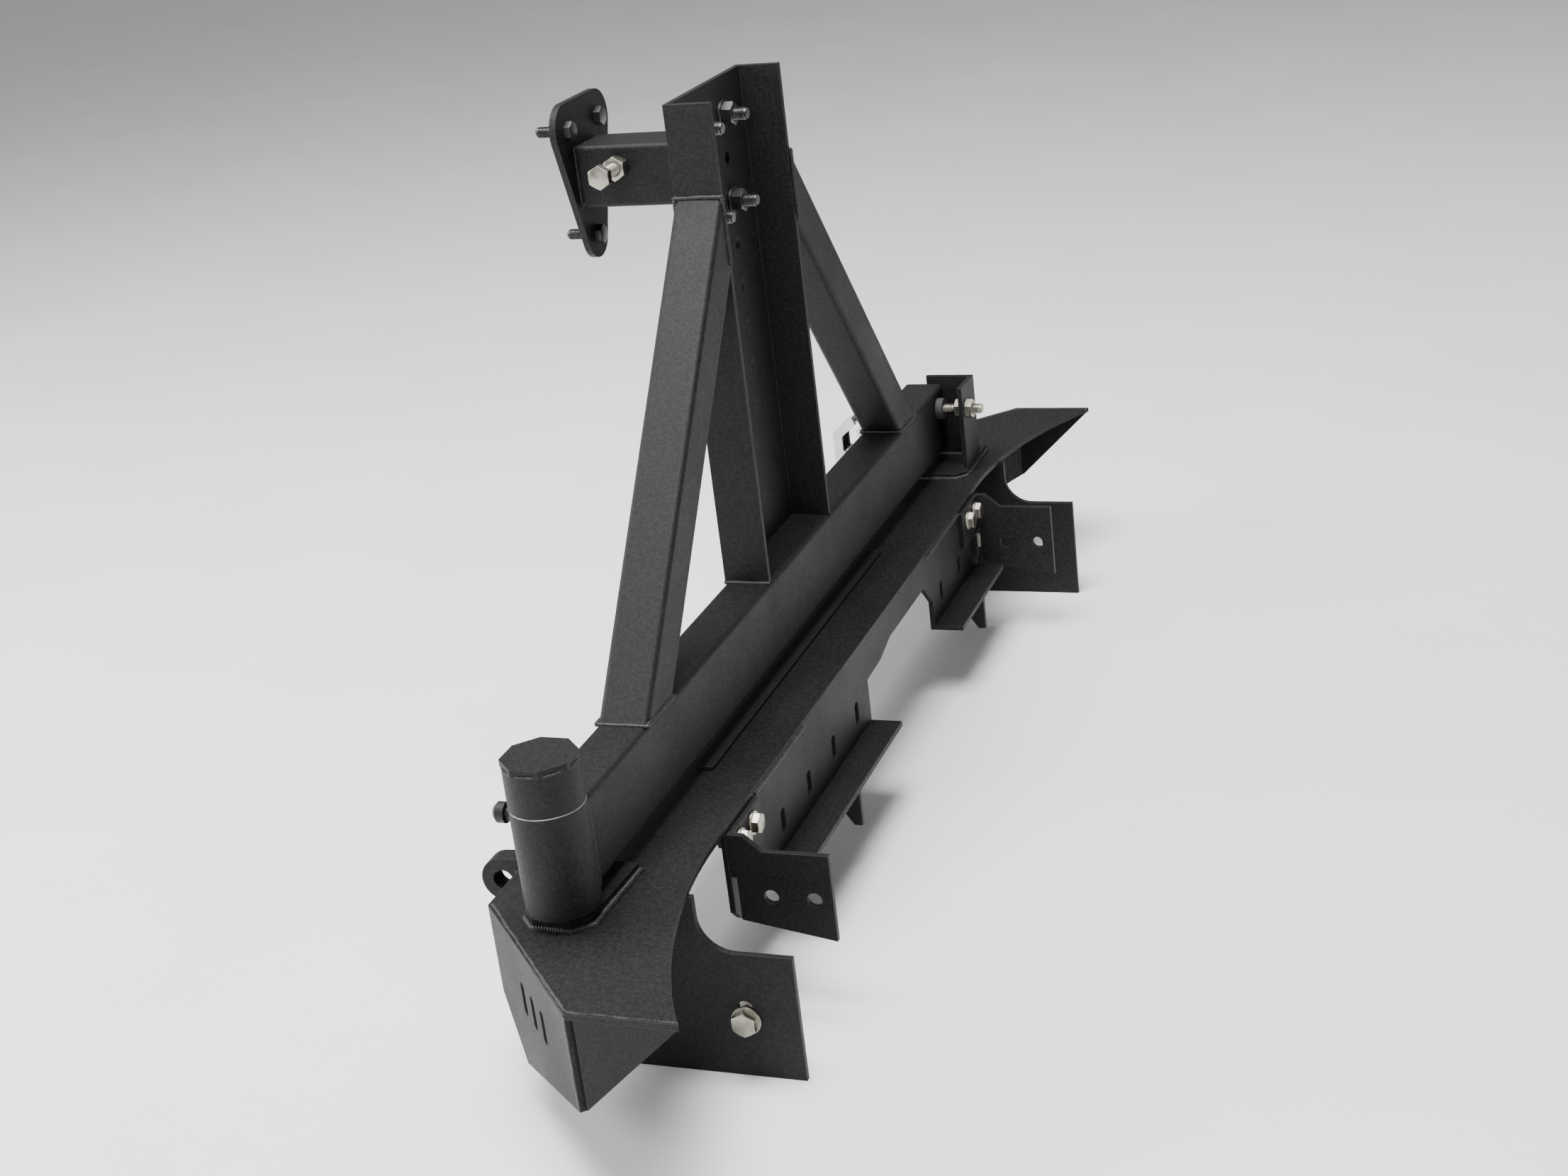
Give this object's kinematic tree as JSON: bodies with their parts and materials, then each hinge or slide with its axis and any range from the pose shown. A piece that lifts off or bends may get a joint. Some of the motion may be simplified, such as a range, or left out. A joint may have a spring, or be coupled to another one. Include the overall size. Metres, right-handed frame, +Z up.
{
  "type": "spare tire carrier",
  "caption": "Plate steel rear bumper with a hinged arm that swings out, carrying an upright post, braces and a studded plate for a spare wheel.",
  "frame": {"origin": "on the vehicle-side face of the bumper's slotted inner panel, at mid-length, 20 mm below the top plate's upper surface", "axes": "+X along the bumper toward the hinge end, +Y toward the vehicle, +Z up"},
  "size_m": [1.364, 0.3369, 0.707],
  "materials": {
    "powder_coat": "textured satin powder coat",
    "zinc": "zinc plated",
    "steel": "machined steel",
    "chrome": "polished",
    "rubber": "matte",
    "knob": "satin black"
  },
  "bodies": {
    "bumper": {"top_plate": "powder_coat", "rear_upper_face": "powder_coat", "rear_lower_face": "powder_coat", "wing_plate_right": "powder_coat", "wing_plate_left": "powder_coat", "end_plate_right": "powder_coat", "end_plate_left": "powder_coat", "inner_panel": "powder_coat", "bottom_flanges": "powder_coat", "flange_gussets": "powder_coat", "side_plate_right": "powder_coat", "side_plate_left": "powder_coat", "frame_bracket_right": "powder_coat", "frame_bracket_left": "powder_coat", "bracket_bolts": "zinc", "side_plate_bolts": "zinc", "shackle_tab_right": "powder_coat", "shackle_tab_left": "powder_coat", "wear_strip": "powder_coat", "spindle_base": "powder_coat", "spindle": "steel", "bearing_cone_lower": "steel", "bearing_cone_upper": "steel", "index_ring": "steel", "lock_washer": "zinc", "castle_nut": "zinc", "cotter_pin": "zinc", "latch_catch": "powder_coat", "striker_base": "powder_coat", "striker_bracket": "powder_coat", "stop_bolt": "zinc", "stop_nuts": "zinc", "stop_pad": "rubber"},
    "swing_arm": {"grease_seal": "rubber", "hub_sleeve": "powder_coat", "bearing_cup_lower": "steel", "bearing_cup_upper": "steel", "hub_cap": "powder_coat", "grease_fitting": "zinc", "pin_housing": "powder_coat", "pin_spring": "zinc", "arm_tube": "powder_coat", "arm_end_cap": "powder_coat", "post_channel": "powder_coat", "brace_right": "powder_coat", "brace_left": "powder_coat", "mount_flange": "powder_coat", "mount_sleeve": "powder_coat", "mount_bolts": "steel", "clamp_nut": "zinc", "clamp_bolt": "zinc", "latch_base": "chrome", "latch_screws": "zinc", "latch_pin": "zinc"},
    "wheel_slide": {"slide_tube": "powder_coat", "wheel_plate": "powder_coat", "wheel_studs": "steel"},
    "hold_open_pin": {"hold_open_pin": "knob"},
    "latch_handle": {"latch_handle": "chrome"},
    "latch_loop": {"latch_loop": "chrome"}
  },
  "joints": [
    {"name": "swing_hinge", "type": "hinge", "parent": "bumper", "child": "swing_arm", "pos_m": [0.552, -0.075, 0.07], "axis": [0, 0, 1], "range_deg": [0, 105]},
    {"name": "wheel_slide", "type": "slide", "parent": "swing_arm", "child": "wheel_slide", "axis": [0, -1, 0], "range_m": [0, 0.06]},
    {"name": "hold_open_pin_pull", "type": "slide", "parent": "swing_arm", "child": "hold_open_pin", "axis": [0, -1, 0], "range_m": [0, 0.004], "stiffness_N_per_m": 600, "springref_m": -0.005, "deforming": ["pin_spring"]},
    {"name": "latch_handle_hinge", "type": "hinge", "parent": "swing_arm", "child": "latch_handle", "pos_m": [-0.352, -0.113, 0.068], "axis": [1, 0, 0], "range_deg": [0, 90]},
    {"name": "latch_loop_hinge", "type": "hinge", "parent": "latch_handle", "child": "latch_loop", "pos_m": [-0.352, -0.109, 0.076], "axis": [1, 0, 0], "range_deg": [-90, 0]}
  ],
  "couplings": [
    {"joint": "latch_loop_hinge", "follows": "latch_handle_hinge", "ratio": -1}
  ]
}
